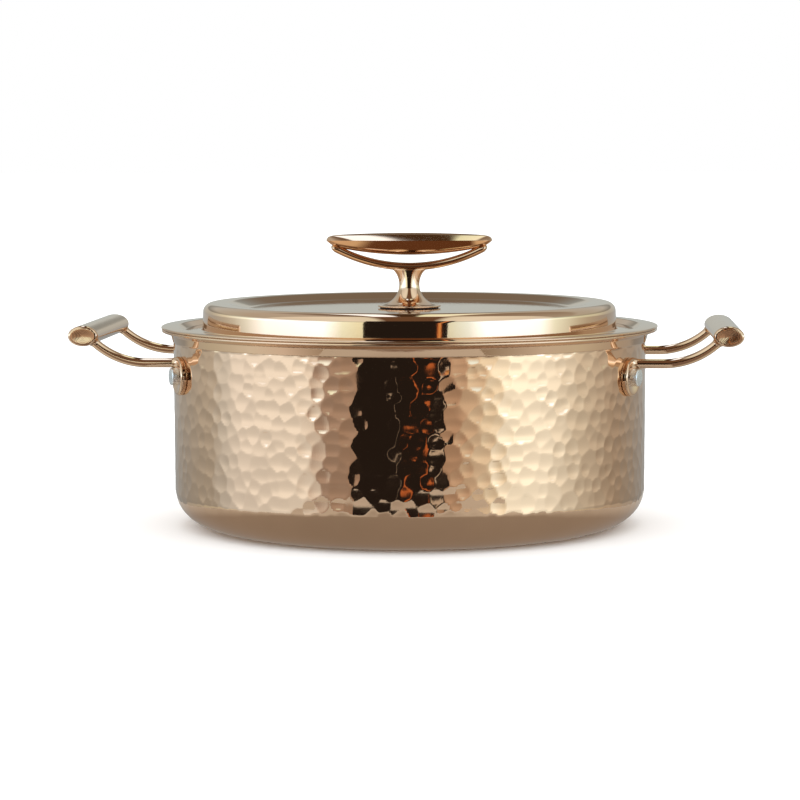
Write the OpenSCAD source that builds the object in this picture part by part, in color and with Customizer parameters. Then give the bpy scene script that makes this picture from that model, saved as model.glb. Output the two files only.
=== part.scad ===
// Round soup kettle: a drawn pot with a flared rim and a heat-spreading base,
// a loose lid with a boat-shaped knob, and two riveted side handles.
// Millimetres, +Z up. The origin is on the pot's axis, on the surface that the
// pot stands on, and +X points through the right-hand handle.

/* [Pot] */
// Outside diameter of the wall, just under the rim
body_d = 260; // [240:1:280]
// Height of the rim above the table
rim_h = 110.2; // [100:0.1:130]
// Thickness of the drawn sheet
wall_t = 1.6; // [1.2:0.1:2]
// How far the flared rim reaches past the wall
rim_reach = 6.2; // [5:0.1:8]
// Width of the rounded bottom edge
corner_w = 25.4; // [20:0.1:30]
// Height of the rounded bottom edge
corner_h = 20.9; // [16:0.1:26]
// How much the wall narrows on its way down
wall_taper = 0.5; // [0:0.1:2]

/* [Base] */
// Thickness of the aluminium core
core_t = 4; // [3:0.1:5]
// Thickness of the cover plate
plate_t = 0.8; // [0.6:0.1:1]
// Diameter of the core and its cover plate
base_d = 192; // [180:1:194]

/* [Lid] */
// Thickness of the lid's sheet
lid_t = 1.2; // [1:0.1:1.5]
// Radius that the raised wall stands back from the pot's wall
lid_setback = 16.9; // [14:0.1:24]
// Height of the lid's top above the rim
lid_rise = 12.2; // [10:0.1:16]
// Depth of the locating step inside the rim
step_depth = 2.8; // [2:0.1:3.5]
// Depth of the recess in the lid's top
recess_depth = 3.2; // [1:0.1:4]

/* [Knob] */
// Length of the knob from tip to tip
knob_len = 91.2; // [80:0.1:100]
// Width of the knob's bar
knob_w = 17; // [14:0.5:20]
// Height of the bar's top above the lid's recess
knob_h = 41.1; // [38:0.1:46]
// Radius of the stem's foot
foot_r = 17.3; // [14:0.1:20]
// Radius of the stem's waist
waist_r = 5.6; // [5:0.1:7]

/* [Handles] */
// Length of the grip over its end caps
grip_len = 108.4; // [104:0.1:120]
// Width of the grip's oval section
grip_w = 16.2; // [14:0.1:18]
// Height of the grip's oval section
grip_t = 11; // [9:0.1:12]
// Distance from the pot's axis to the middle of the grip
grip_reach = 172.2; // [170:0.1:180]
// Height of the grip's middle above the table
grip_z = 106.8; // [104:0.1:110]
// Diameter of the handle rods
rod_d = 5; // [4.5:0.1:6]
// Height of the rods' straight part above the table
rod_z = 92.3; // [90:0.1:94]
// Bend radius of the rods
bend_r = 42; // [38:0.5:46]
// Diameter of the eye at the end of a rod
eye_d = 20.4; // [18:0.1:22]

/* [Hidden] */
$fn = 96;

rose_gold = [0.86, 0.64, 0.50];
steel = [0.80, 0.80, 0.81];
aluminium = [0.72, 0.73, 0.75];
seal_grey = [0.25, 0.25, 0.26];

// Pot
body_r = body_d / 2;
rim_r = body_r + rim_reach;
recess_h = core_t + plate_t;
base_r = base_d / 2;
step_w = 7;
neck_z = rim_h - 5;
eps = 0.01;

// Lid: the flange lies on the rim with a hair of clearance
seat_gap = 0.3;
flange_top = rim_h + seat_gap + lid_t + 0.3;
ledge_top = flange_top - step_depth;
lid_wall_r = body_r - lid_setback;
lid_top = rim_h + lid_rise;
recess_top = lid_top - recess_depth;
step_r = body_r - wall_t - 1.4;
step_run = 3.2;
shoulder_r = 4.6;
ledge_fillet = 2.6;
recess_outer = lid_wall_r - 12;
recess_inner = recess_outer - 13;

// Knob, all heights above the lid's recess
gasket_t = 0.5;
stem_z = recess_top + gasket_t;
bar_top = recess_top + knob_h;
bar_low = bar_top - 12;
slot_h = 4.4;
bow_top = bar_low - slot_h;
bow_t = 4.4;
bow_low = bow_top - bow_t;
bow_w = 8;
bar_top_bend = 711;
bar_low_bend = 203;
bow_top_bend = 85;
bow_low_bend = 88;
tip_drop = 3;
tip_slope = 48;

// Fasteners
screw_r = 2.5;
hole_gap = 0.1;
washer_r = 6;
washer_t = 1;
screw_head_r = 4.6;
screw_head_t = 2.8;
screw_reach = 13;

// Handles
rod_y = 50;
eye_r = eye_d / 2;
eye_t = 3;
eye_drop = 7.2;
eye_z = rod_z - eye_drop;
eye_turn = asin(rod_y / body_r);
rivet_r = 2.5;
rivet_head_r = 4.7;
rivet_head_t = 3.2;
rivet_button_r = 4.5;
rivet_button_t = 1.4;
bend_x = 138;
grip_wall = 1.2;
cap_t = 1.8;
cap_round = 1.2;
spigot = 4;

// Points on a quarter or any other part of an ellipse round a centre
function arc(c, rx, rz, a0, a1, n = 10) =
    [for (i = [0:n]) let (a = a0 + (a1 - a0) * i / n) [c[0] + rx * cos(a), c[1] + rz * sin(a)]];

// A smooth S between two points, level at both ends
function swing(p, q, n = 10) =
    [for (i = [0:n]) let (s = i / n) [p[0] + (q[0] - p[0]) * s, p[1] + (q[1] - p[1]) * (1 - cos(180 * s)) / 2]];

// The path moved sideways by d along its own normals
function shifted(path, d) =
    let (last = len(path) - 1)
    [for (i = [0:last])
        let (
            a = path[max(i - 1, 0)],
            b = path[min(i + 1, last)],
            run = norm(b - a)
        )
        [path[i][0] - d * (b[1] - a[1]) / run, path[i][1] + d * (b[0] - a[0]) / run]];

function reversed(path) = [for (i = [len(path) - 1:-1:0]) path[i]];

// Pressed sheet of one thickness that follows a path from the axis outwards
module pressed(path, t) {
    rotate_extrude(convexity = 6, $fn = 180)
        polygon(concat(shifted(path, t / 2), reversed(shifted(path, -t / 2))));
}

// Oval outline of the hand grips
module oval(w, h) {
    polygon([for (i = [0:47]) [w / 2 * cos(i * 7.5), h / 2 * sin(i * 7.5)]]);
}

// Mid-line of the pot's sheet: floor, base step, rounded edge, wall and flared lip
pot_path = let (h = wall_t / 2) concat(
    [[0, recess_h + h]],
    swing([base_r + 1, recess_h + h], [base_r + 1 + step_w, h]),
    arc([body_r - wall_taper - corner_w, corner_h], corner_w - h, corner_h - h, -90 + 4, 0, 14),
    [[body_r - h, neck_z - 3]],
    arc([rim_r - 0.4, neck_z], rim_reach - 0.4 + h, rim_h - h - neck_z, 180, 90, 10)
);

module pot_shell() {
    color(rose_gold) difference() {
        pressed(pot_path, wall_t);
        for (side = [-1, 1], end = [-1, 1]) at_eye(side, end)
            translate([0, 0, body_r - 8]) cylinder(r = rivet_r + hole_gap, h = 16, $fn = 48);
    }
}

module base_core() {
    color(aluminium) translate([0, 0, plate_t]) cylinder(r = base_r, h = core_t);
}

module base_plate() {
    color(steel) cylinder(r = base_r, h = plate_t);
}

// Handles. side is -1 on the left and 1 on the right, end is -1 in front and 1 behind

// Moves +Z onto the outward normal at a rivet, with the origin on the pot's axis
module at_eye(side, end) {
    translate([0, 0, eye_z]) rotate([0, 0, side > 0 ? end * eye_turn : 180 - end * eye_turn])
        rotate([0, 90, 0]) children();
}

// The grip's oval carried along Y between two distances from the middle
module grip_bar(w, h, y0, y1) {
    translate([0, y1, grip_z]) rotate([90, 0, 0]) linear_extrude(y1 - y0) oval(w, h);
}

module grip(side) {
    half = grip_len / 2 - cap_t;
    color(rose_gold) translate([side * grip_reach, 0, 0]) difference() {
        grip_bar(grip_w, grip_t, -half, half);
        grip_bar(grip_w - 2 * grip_wall, grip_t - 2 * grip_wall, -half - 1, half + 1);
    }
}

module grip_cap(side, end) {
    inner = grip_len / 2 - cap_t;
    color(rose_gold) translate([side * grip_reach, 0, 0]) mirror([0, end < 0 ? 1 : 0, 0]) union() {
        hull() {
            grip_bar(grip_w, grip_t, inner, inner + cap_t - cap_round);
            grip_bar(grip_w - 2 * cap_round, grip_t - 2 * cap_round, inner, inner + cap_t);
        }
        grip_bar(grip_w - 2 * grip_wall - 0.2, grip_t - 2 * grip_wall - 0.2, inner - spigot, inner + 0.2);
    }
}

// Straight run from the eye, then one bend up into the grip's underside
module rod_bar() {
    eye_x = body_r * cos(eye_turn);
    translate([eye_x + 1, 0, rod_z]) rotate([0, 90, 0]) cylinder(d = rod_d, h = bend_x - eye_x - 1, $fn = 48);
    translate([bend_x, 0, rod_z + bend_r]) rotate([90, 0, 0]) rotate([0, 0, -90])
        rotate_extrude(angle = 46, $fn = 180) translate([bend_r, 0]) circle(d = rod_d, $fn = 48);
}

module rod(side, end) {
    color(rose_gold) difference() {
        union() {
            translate([0, end * rod_y, 0]) mirror([side < 0 ? 1 : 0, 0, 0]) rod_bar();
            at_eye(side, end) translate([0, 0, body_r - 2]) cylinder(r = eye_r, h = eye_t + 2, $fn = 72);
        }
        translate([0, 0, eye_z - eye_r - 5]) cylinder(r = body_r, h = eye_r * 2 + 10, $fn = 180);
        translate([side * grip_reach, 0, 0]) grip_bar(grip_w, grip_t, -grip_len, grip_len);
        at_eye(side, end) cylinder(r = rivet_r + hole_gap, h = body_r + 20, $fn = 48);
    }
}

// One rivet: outer head on the eye, shank, and the button closed over inside the pot
module rivet() {
    head_z = body_r + eye_t;
    inner_z = body_r - wall_t - 0.3;
    rotate_extrude($fn = 64) polygon([
        [0, inner_z - rivet_button_t],
        [rivet_button_r - 1, inner_z - rivet_button_t],
        [rivet_button_r, inner_z - 0.5],
        [rivet_button_r, inner_z],
        [rivet_r, inner_z],
        [rivet_r, head_z],
        [rivet_head_r, head_z],
        [rivet_head_r, head_z + rivet_head_t - 0.4],
        [rivet_head_r - 0.4, head_z + rivet_head_t],
        [0, head_z + rivet_head_t]
    ]);
}

module rivets(side) {
    color(steel) for (end = [-1, 1]) at_eye(side, end) rivet();
}

module left_grip() { grip(-1); }
module right_grip() { grip(1); }
module left_grip_cap_front() { grip_cap(-1, -1); }
module left_grip_cap_back() { grip_cap(-1, 1); }
module right_grip_cap_front() { grip_cap(1, -1); }
module right_grip_cap_back() { grip_cap(1, 1); }
module left_rod_front() { rod(-1, -1); }
module left_rod_back() { rod(-1, 1); }
module right_rod_front() { rod(1, -1); }
module right_rod_back() { rod(1, 1); }
module left_rivets() { rivets(-1); }
module right_rivets() { rivets(1); }

// Mid-line of the lid's sheet: recess, top, shoulder, wall, ledge, locating step and flange
lid_path = let (h = lid_t / 2) concat(
    [[screw_r + 0.2, recess_top - h]],
    swing([recess_inner, recess_top - h], [recess_outer, lid_top - h]),
    arc([lid_wall_r - shoulder_r, lid_top - shoulder_r], shoulder_r - h, shoulder_r - h, 90, 0, 8),
    arc([lid_wall_r + ledge_fillet, ledge_top + ledge_fillet], ledge_fillet + h, ledge_fillet + h, 180, 270, 8),
    swing([step_r - step_run, ledge_top - h], [step_r, flange_top - h]),
    [[rim_r, flange_top - h]]
);

module lid_shell() {
    color(rose_gold) pressed(lid_path, lid_t);
}

// Knob. The bar is swept from oval sections, the strap and the stem are turned and cut

// Sagitta of a bend of radius r at a distance x from the middle
function sag(r, x) = r - sqrt(r * r - x * x);
function bar_half_w(x) = knob_w / 2 * pow(max(1 - pow(abs(x) / (knob_len / 2 + 0.8), 2.6), 0.001), 1 / 2.6);
function bar_z_top(x) = bar_top - sag(bar_top_bend, x) - 1.2 * pow(abs(x) / (knob_len / 2), 10);
function bar_z_low(x) = bar_low + sag(bar_low_bend, x);

module knob_grip() {
    rings = 36;
    sides = 24;
    half = knob_len / 2;
    // Ring i lies at u from -1 to 1; its lower half leans inwards so that the tips slope
    points = [for (i = [0:rings]) let (u = -cos(180 * i / rings))
        for (j = [0:sides - 1])
            let (
                a = 360 * j / sides,
                x = u * (half - max(0, -sin(a)) * 4 * pow(abs(u), 6)),
                mid = (bar_z_top(u * half) + bar_z_low(u * half)) / 2,
                rise = (bar_z_top(u * half) - bar_z_low(u * half)) / 2
            )
            [x, bar_half_w(u * half) * cos(a), mid + rise * sin(a)]];
    skin = [for (i = [0:rings - 1], j = [0:sides - 1])
        let (a = i * sides + j, b = i * sides + (j + 1) % sides)
        [a, a + sides, b + sides, b]];
    ends = [[for (j = [0:sides - 1]) j], [for (j = [sides - 1:-1:0]) rings * sides + j]];
    color(rose_gold) polyhedron(points, concat(skin, ends), convexity = 4);
}

module knob_bow() {
    color(rose_gold) intersection() {
        difference() {
            across_y(bow_w, bow_low_bend, bow_low + bow_low_bend);
            across_y(bow_w + 2, bow_top_bend, bow_top + bow_top_bend);
        }
        difference() {
            translate([-knob_len, -bow_w / 2, bow_low - 1]) cube([2 * knob_len, bow_w, 30]);
            across_y(bow_w + 2, bar_low_bend, bar_low + bar_low_bend + 0.6);
            for (side = [-1, 1]) translate([side * (knob_len / 2 - tip_drop - 4.6), 0, bow_low + 8])
                rotate([0, side * (90 - tip_slope), 0]) translate([side * 20, 0, 0]) cube(40, center = true);
        }
    }
}

// A cylinder that lies along Y with its axis at height z
module across_y(w, r, z) {
    translate([0, w / 2, z]) rotate([90, 0, 0]) cylinder(r = r, h = w, $fn = 180);
}

// Half outline of the stem: foot edge, trumpet, waist and flare
stem_path = concat(
    [[0, stem_z], [foot_r - 0.4, stem_z], [foot_r, stem_z + 0.4], [foot_r - 0.3, stem_z + 0.9]],
    arc([foot_r - 1, stem_z + 12.2], foot_r - 1 - waist_r, 11, 270 - 6, 180, 12),
    arc([waist_r + 7, stem_z + 12.2], 7, 9.6, 180, 90 + 24, 10),
    [[0, stem_z + 21.4]]
);

module knob_stem() {
    color(rose_gold) difference() {
        rotate_extrude($fn = 96) polygon(stem_path);
        across_y(60, bow_low_bend, bow_low + bow_low_bend);
        translate([0, 0, stem_z - 1]) cylinder(r = screw_r + hole_gap / 2, h = screw_reach + 1, $fn = 48);
    }
}

module knob_gasket() {
    color(seal_grey) translate([0, 0, recess_top]) difference() {
        cylinder(r = foot_r - 1.2, h = gasket_t);
        translate([0, 0, -1]) cylinder(r = screw_r + 0.2, h = gasket_t + 2, $fn = 48);
    }
}

module knob_washer() {
    color(steel) translate([0, 0, recess_top - lid_t - washer_t]) difference() {
        cylinder(r = washer_r, h = washer_t, $fn = 64);
        translate([0, 0, -1]) cylinder(r = screw_r + 0.2, h = washer_t + 2, $fn = 48);
    }
}

module knob_screw() {
    head_z = recess_top - lid_t - washer_t - screw_head_t;
    color(steel) difference() {
        union() {
            translate([0, 0, head_z]) cylinder(r = screw_head_r, h = screw_head_t, $fn = 64);
            translate([0, 0, head_z + eps]) cylinder(r = screw_r, h = stem_z + screw_reach - 1 - head_z, $fn = 48);
        }
        translate([0, 0, head_z - 1]) cylinder(r = 1.7, h = 2.6, $fn = 6);
    }
}

pot_shell();
base_core();
base_plate();
left_grip();
left_grip_cap_front();
left_grip_cap_back();
left_rod_front();
left_rod_back();
left_rivets();
right_grip();
right_grip_cap_front();
right_grip_cap_back();
right_rod_front();
right_rod_back();
right_rivets();
lid_shell();
knob_grip();
knob_bow();
knob_stem();
knob_gasket();
knob_washer();
knob_screw();
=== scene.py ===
# %% [markdown]
# # A round soup kettle in hammered rose gold
# The kettle is a drawn steel pot with a hammered wall, a loose pressed lid with a boat-shaped knob,
# and two side handles that are riveted on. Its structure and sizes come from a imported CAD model, which
# this script loads first and never changes. What is made here is the skin: each part gets a finer mesh,
# worked out with numpy, and a polished metal with the small flaws that real metal has.

# %% Load the kettle's frame
import itertools
import math

import bpy
import numpy as np
from mathutils import Matrix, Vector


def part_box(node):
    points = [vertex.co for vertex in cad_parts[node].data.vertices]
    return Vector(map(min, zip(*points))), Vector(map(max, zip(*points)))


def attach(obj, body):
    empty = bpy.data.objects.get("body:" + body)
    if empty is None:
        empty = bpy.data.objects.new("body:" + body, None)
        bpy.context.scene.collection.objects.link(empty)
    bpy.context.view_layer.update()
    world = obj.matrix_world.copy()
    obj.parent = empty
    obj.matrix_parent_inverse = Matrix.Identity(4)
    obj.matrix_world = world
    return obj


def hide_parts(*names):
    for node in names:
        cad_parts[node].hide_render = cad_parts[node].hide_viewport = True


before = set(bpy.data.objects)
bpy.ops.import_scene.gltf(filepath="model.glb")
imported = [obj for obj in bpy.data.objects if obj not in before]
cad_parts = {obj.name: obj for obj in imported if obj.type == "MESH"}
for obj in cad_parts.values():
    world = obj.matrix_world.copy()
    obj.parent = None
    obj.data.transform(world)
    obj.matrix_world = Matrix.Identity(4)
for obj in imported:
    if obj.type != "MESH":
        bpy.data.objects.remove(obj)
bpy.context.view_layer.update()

MM = 0.001

# %% [markdown]
# ## The camera
# A long lens from about a metre and a half, a little above the rim, is how tableware is usually shown:
# the rings of rim and lid open just enough to read, and the wall stays upright. The camera first stands
# straight in front and is then carried round the kettle's axis, so that one handle comes nearer.

# %% Camera
CAMERA_ROUND = 0.061
CAMERA_PLACE = (-0.00529, -1.53708, 0.20774)
CAMERA_PITCH = 0.0906
CAMERA_ROLL = -0.0029

camera_data = bpy.data.cameras.new("camera")
camera_data.lens = 125.84
camera_data.sensor_width = 36
camera = bpy.data.objects.new("camera", camera_data)
bpy.context.scene.collection.objects.link(camera)
camera.matrix_world = (
    Matrix.Rotation(CAMERA_ROUND, 4, "Z")
    @ Matrix.Translation(CAMERA_PLACE)
    @ Matrix.Rotation(math.pi / 2 - CAMERA_PITCH, 4, "X")
    @ Matrix.Rotation(CAMERA_ROLL, 4, "Z")
)
bpy.context.scene.camera = camera
print("camera at", [round(v, 3) for v in camera.matrix_world.translation])

# %% [markdown]
# ## The studio
# Polished metal has hardly any colour of its own: it shows the room. So the room is designed as
# carefully as the object. Lamps could light it, but their mirror images are hard to shape. Instead the
# room is one world shader that depends only on a direction: two large soft lights stand left and right,
# a warm grey wall joins them in front, and further back the walls fall to a quiet grey. A few small
# helpers come first, because a shader is a long list of nodes and links.

# %% Helpers for shader nodes
def add(tree, kind, inputs=None, **settings):
    """One shader node. inputs maps a socket's name or number to a plain value or to an output to link."""
    node = tree.nodes.new("ShaderNode" + kind)
    for key, value in settings.items():
        setattr(node, key, value)
    for key, value in (inputs or {}).items():
        if isinstance(value, bpy.types.NodeSocket):
            tree.links.new(value, node.inputs[key])
        else:
            node.inputs[key].default_value = value
    return node


def maths(tree, operation, *values):
    """The result of one sum on up to three numbers or outputs."""
    return add(tree, "Math", dict(enumerate(values)), operation=operation).outputs[0]


def share_of(tree, value, low, high, start=0.0, end=1.0):
    """A value's share of the way from low to high, held within that range and spread from start to end."""
    return add(tree, "MapRange", {"Value": value, 1: low, 2: high, 3: start, 4: end}).outputs[0]


def mixed(tree, share, first, second, blend="MIX"):
    """The first colour turning into the second as the share goes from nought to one."""
    return add(tree, "MixRGB", {0: share, 1: first, 2: second}, blend_type=blend).outputs[0]


def ramp(tree, factor, stops):
    """A row of colours through stops of (place from 0 to 1, red, green, blue)."""
    node = add(tree, "ValToRGB", {"Fac": factor})
    elements = node.color_ramp.elements
    while len(elements) < len(stops):
        elements.new(0.5)
    for element, (place, *colour) in zip(elements, stops):
        element.position = place
        element.color = (*colour, 1)
    return node.outputs["Color"]


print("shader helpers:", [f.__name__ for f in (add, maths, share_of, mixed, ramp)])

# %% [markdown]
# The walls are described like a paint plan: at each turn round the kettle, in degrees from the camera's
# side with right positive, one colour in plain light units. There are three plans, because the round
# wall of the pot looks a little below the horizon, the lid a little above it, and the rounded bottom
# edge well down to the floor.

# %% Colours round the room
LOWER_ROOM = [
    (-180, 0.40, 0.42, 0.42), (-140, 0.41, 0.44, 0.44), (-113, 0.49, 0.52, 0.51), (-101, 0.68, 0.78, 0.85),
    (-90, 0.93, 1.05, 1.15), (-53, 1.00, 1.12, 1.20), (-46, 0.82, 0.86, 0.88), (-42, 0.44, 0.38, 0.35),
    (-28, 0.41, 0.33, 0.28), (-12, 0.50, 0.37, 0.27), (15, 0.45, 0.33, 0.25), (22, 0.54, 0.43, 0.34),
    (28, 0.70, 0.63, 0.52), (39, 0.94, 0.98, 0.88), (48, 1.30, 1.50, 1.54), (65, 1.24, 1.44, 1.50),
    (89, 0.72, 0.77, 0.74), (116, 0.43, 0.40, 0.35), (142, 0.37, 0.38, 0.37), (180, 0.40, 0.42, 0.42)]
UPPER_ROOM = [
    (-180, 0.44, 0.48, 0.44), (-160, 0.48, 0.52, 0.48), (-141, 0.68, 0.74, 0.68), (-123, 0.80, 0.90, 0.84),
    (-101, 1.25, 1.60, 1.70), (-86, 1.80, 2.30, 3.00), (-48, 1.80, 2.30, 3.00), (-37, 1.20, 1.53, 1.46),
    (-28, 1.10, 1.30, 1.10), (-12, 1.00, 1.15, 1.05), (15, 1.00, 1.15, 1.05), (22, 0.95, 1.20, 1.15),
    (32, 1.10, 1.50, 1.75), (42, 1.80, 2.30, 3.00), (76, 1.80, 2.30, 3.00), (86, 1.20, 1.60, 1.60),
    (106, 0.78, 0.94, 0.82), (128, 0.68, 0.76, 0.66), (155, 0.60, 0.64, 0.56), (180, 0.44, 0.48, 0.44)]
FLOOR_ROUND = [
    (-180, 0.38, 0.38, 0.37), (-153, 0.40, 0.40, 0.38), (-113, 0.57, 0.60, 0.54), (-87, 0.74, 0.78, 0.75),
    (-67, 0.72, 0.69, 0.66), (-50, 0.49, 0.45, 0.39), (-34, 0.28, 0.24, 0.20), (-15, 0.21, 0.15, 0.12),
    (12, 0.21, 0.15, 0.12), (33, 0.29, 0.25, 0.19), (51, 0.46, 0.44, 0.39), (71, 0.64, 0.63, 0.59),
    (92, 0.61, 0.63, 0.55), (116, 0.49, 0.46, 0.40), (155, 0.37, 0.38, 0.37), (180, 0.38, 0.38, 0.37)]
BACK = (0.49, 0.52, 0.49)
print("stops round the room:", len(LOWER_ROOM), len(UPPER_ROOM), len(FLOOR_ROUND))

# %% [markdown]
# High up, the plan goes by the lean to the left or right instead, in degrees. In front and at the back
# there is a dark middle, and overhead two long lamps lie side by side. The knob's crowned top and the
# lid's rounded shoulder show them as clean bands.

# %% Colours high up
HIGH_FRONT = [
    (-90, 0.70, 0.75, 0.75), (-30, 1.00, 1.10, 1.10), (-17, 0.90, 1.00, 0.95), (-12, 0.17, 0.10, 0.06),
    (12, 0.17, 0.10, 0.06), (17, 0.90, 1.00, 0.95), (30, 1.00, 1.10, 1.10), (90, 0.70, 0.75, 0.75)]
OVERHEAD = [
    (-90, 0.50, 0.53, 0.50), (-30, 0.55, 0.56, 0.55), (-15, 0.20, 0.15, 0.11), (-12, 0.20, 0.15, 0.11),
    (-11, 1.50, 1.90, 2.40), (-4.4, 1.50, 1.90, 2.40), (-3.4, 0.07, 0.04, 0.02), (1.8, 0.07, 0.04, 0.02),
    (2.8, 1.05, 1.30, 1.10), (10, 1.20, 1.40, 1.30), (14, 0.30, 0.25, 0.20), (90, 0.50, 0.53, 0.50)]
HIGH_BACK = [
    (-90, 0.50, 0.53, 0.50), (-24, 0.55, 0.60, 0.60), (-5.2, 0.50, 0.52, 0.50), (-4.2, 0.21, 0.18, 0.14),
    (4.2, 0.21, 0.18, 0.14), (5.2, 0.50, 0.52, 0.50), (24, 0.55, 0.60, 0.60), (90, 0.50, 0.53, 0.50)]
# (height above the horizon in degrees, how bright the walls are there)
UP_THE_ROOM = [
    (-14, 0.76), (-8, 0.83), (-6, 0.94), (-4.5, 1.12), (-3, 1.16), (0, 1.0), (8, 1.1), (10, 0.6), (40, 0.5)]
print("stops high up:", len(HIGH_FRONT), len(OVERHEAD), len(HIGH_BACK))

# %% [markdown]
# A direction has four angles that matter here: its turn round the kettle, its rise above the horizon,
# its lean to one side, and its pitch from the front over the top to the back. A colour ramp only holds
# values up to one, so the colours are stored small and the background's strength makes up for it.

# %% Angles of a direction
SCALE = 4.0

world = bpy.data.worlds.new("studio")
world.use_nodes = True
world.cycles.sampling_method = "NONE"
bpy.context.scene.world = world
room = world.node_tree
room.nodes.clear()
direction = add(room, "TexCoord").outputs["Generated"]
facing = add(room, "Mapping", {"Vector": direction, "Rotation": (0, 0, -CAMERA_ROUND)}).outputs["Vector"]
part = add(room, "SeparateXYZ", {"Vector": facing}).outputs
towards = maths(room, "MULTIPLY", part["Y"], -1.0)
turn = maths(room, "ARCTAN2", part["X"], towards)
rise = maths(room, "ARCSINE", part["Z"])
lean = maths(room, "ARCSINE", part["X"])
pitch = maths(room, "ARCTAN2", part["Z"], towards)


def colours(angle, span, stops):
    """Colour by an angle. The stops' degrees cover the span, with nought in its middle."""
    share = maths(room, "MULTIPLY_ADD", angle, 1 / math.radians(span), 0.5)
    return ramp(room, share, [(a / span + 0.5, *(v / SCALE for v in colour)) for a, *colour in stops])


def between(angle, joint, first, second):
    """The first colour below a joint of two angles, the second above it, and a blend in between."""
    low, high = (math.radians(a) for a in joint)
    return mixed(room, share_of(room, angle, low, high), first, second)


print("angles read by the room:", ["turn", "rise", "lean", "pitch"])

# %% The walls and what is above and below them
WALLS_JOINT, CEILING_JOINT, FLOOR_JOINT = (-2, 0.5), (11, 18), (-14, -12.5)
OVERHEAD_JOINT, HIGH_BACK_JOINT = (80, 87), (126, 134)
BACK_BEGINS, BACK_FULL = -0.6, -0.85

back_colour = (*(v / SCALE for v in BACK), 1)
behind = share_of(room, towards, BACK_BEGINS, BACK_FULL)
upper_walls = mixed(room, behind, colours(turn, 360, UPPER_ROOM), back_colour)
walls = between(rise, WALLS_JOINT, colours(turn, 360, LOWER_ROOM), upper_walls)
height_share = maths(room, "MULTIPLY_ADD", rise, 1 / math.pi, 0.5)
level = ramp(room, height_share, [(a / 180 + 0.5, b / 2, b / 2, b / 2) for a, b in UP_THE_ROOM])
walls = mixed(room, 1.0, walls, level, "MULTIPLY")
walls = mixed(room, 1.0, walls, (2, 2, 2, 1), "MULTIPLY")
high_front, overhead, high_back = (colours(lean, 180, stops) for stops in (HIGH_FRONT, OVERHEAD, HIGH_BACK))
high_up = between(pitch, OVERHEAD_JOINT, high_front, between(pitch, HIGH_BACK_JOINT, overhead, high_back))
upper = between(rise, CEILING_JOINT, walls, high_up)
lit = between(rise, FLOOR_JOINT, colours(turn, 360, FLOOR_ROUND), upper)
print("zones: floor, lower walls, upper walls, high front, overhead, high back")

# %% [markdown]
# Three kinds of ray ask for the room's colour. Reflections see the studio, the camera sees clean white,
# and the pale floor is lit by an even white, so its shade under the kettle stays soft.

# %% The room as one shader
FILL = 1.6

seen_in_metal = add(room, "Background", {"Color": lit, "Strength": SCALE}).outputs[0]
seen_by_floor = add(room, "Background", {"Color": (1, 1, 1, 1), "Strength": FILL}).outputs[0]
seen_direct = add(room, "Background", {"Color": (1, 1, 1, 1), "Strength": 1.0}).outputs[0]
ray = add(room, "LightPath").outputs
indirect = add(room, "MixShader", {0: ray["Is Diffuse Ray"], 1: seen_in_metal, 2: seen_by_floor}).outputs[0]
everything = add(room, "MixShader", {0: ray["Is Camera Ray"], 1: indirect, 2: seen_direct}).outputs[0]
add(room, "OutputWorld", {"Surface": everything})
bpy.context.scene.view_settings.view_transform = "Standard"
print("room shader:", len(room.nodes), "nodes")

# %% [markdown]
# ## The floor
# The kettle stands on a pale floor. One plane could serve for everything, but a mirror would turn it
# into a wide white band. So the metal sees a small table top in its place, warm, and darkened near the
# pot by a painted shadow.
# It ends a hand's length in front of the kettle, and the hammered wall breaks up its edge.

# %% Floor and table top
FLOOR_HALF = 20.0
FLOOR_SHADE = 0.93
TABLE_HALF_X, TABLE_HALF_Y = 0.155, 0.295
TABLE_Z = -0.0004
SQUEEZE = 0.55
# (distance from the axis, red, green, blue): the table's own tone, darkened near the pot by a painted shadow
TABLE_TONE_AND_PAINTED_SHADOW = [
    (0.07, 0.20, 0.18, 0.16), (0.125, 0.22, 0.20, 0.18), (0.14, 0.30, 0.29, 0.27), (0.17, 0.40, 0.40, 0.38)]


def flat(name, half_x, half_y, height):
    """A level rectangle round the kettle's axis, in a matt white to start with."""
    mesh = bpy.data.meshes.new(name)
    corners = [(-half_x, -half_y), (half_x, -half_y), (half_x, half_y), (-half_x, half_y)]
    mesh.from_pydata([(x, y, height) for x, y in corners], [], [(0, 1, 2, 3)])
    material = bpy.data.materials.new(name)
    material.use_nodes = True
    shader = material.node_tree.nodes["Principled BSDF"]
    shader.inputs["Base Color"].default_value = (FLOOR_SHADE, FLOOR_SHADE, FLOOR_SHADE, 1)
    shader.inputs["Roughness"].default_value = 1.0
    shader.inputs["Specular IOR Level"].default_value = 0.0
    mesh.materials.append(material)
    thing = bpy.data.objects.new(name, mesh)
    bpy.context.scene.collection.objects.link(thing)
    return thing


floor = flat("floor", FLOOR_HALF, FLOOR_HALF, 0.0)
floor.visible_glossy = False
table = flat("table_top", TABLE_HALF_X, TABLE_HALF_Y, TABLE_Z)
top = table.data.materials[0].node_tree
# The table's colour follows the distance to the pot: a painted shadow round the kettle's foot.
middle = add(top, "TexCoord").outputs["Object"]
squeezed = add(top, "Mapping", {"Vector": middle, "Scale": (1, SQUEEZE, 1)}).outputs[0]
away = add(top, "VectorMath", {0: squeezed}, operation="LENGTH").outputs["Value"]
top.links.new(ramp(top, away, TABLE_TONE_AND_PAINTED_SHADOW), top.nodes["Principled BSDF"].inputs["Base Color"])
table.visible_camera = False
table.visible_diffuse = False
print(f"floor {2 * FLOOR_HALF:.0f} m wide, table top {2 * TABLE_HALF_X:.2f} by {2 * TABLE_HALF_Y:.2f} m")

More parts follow.
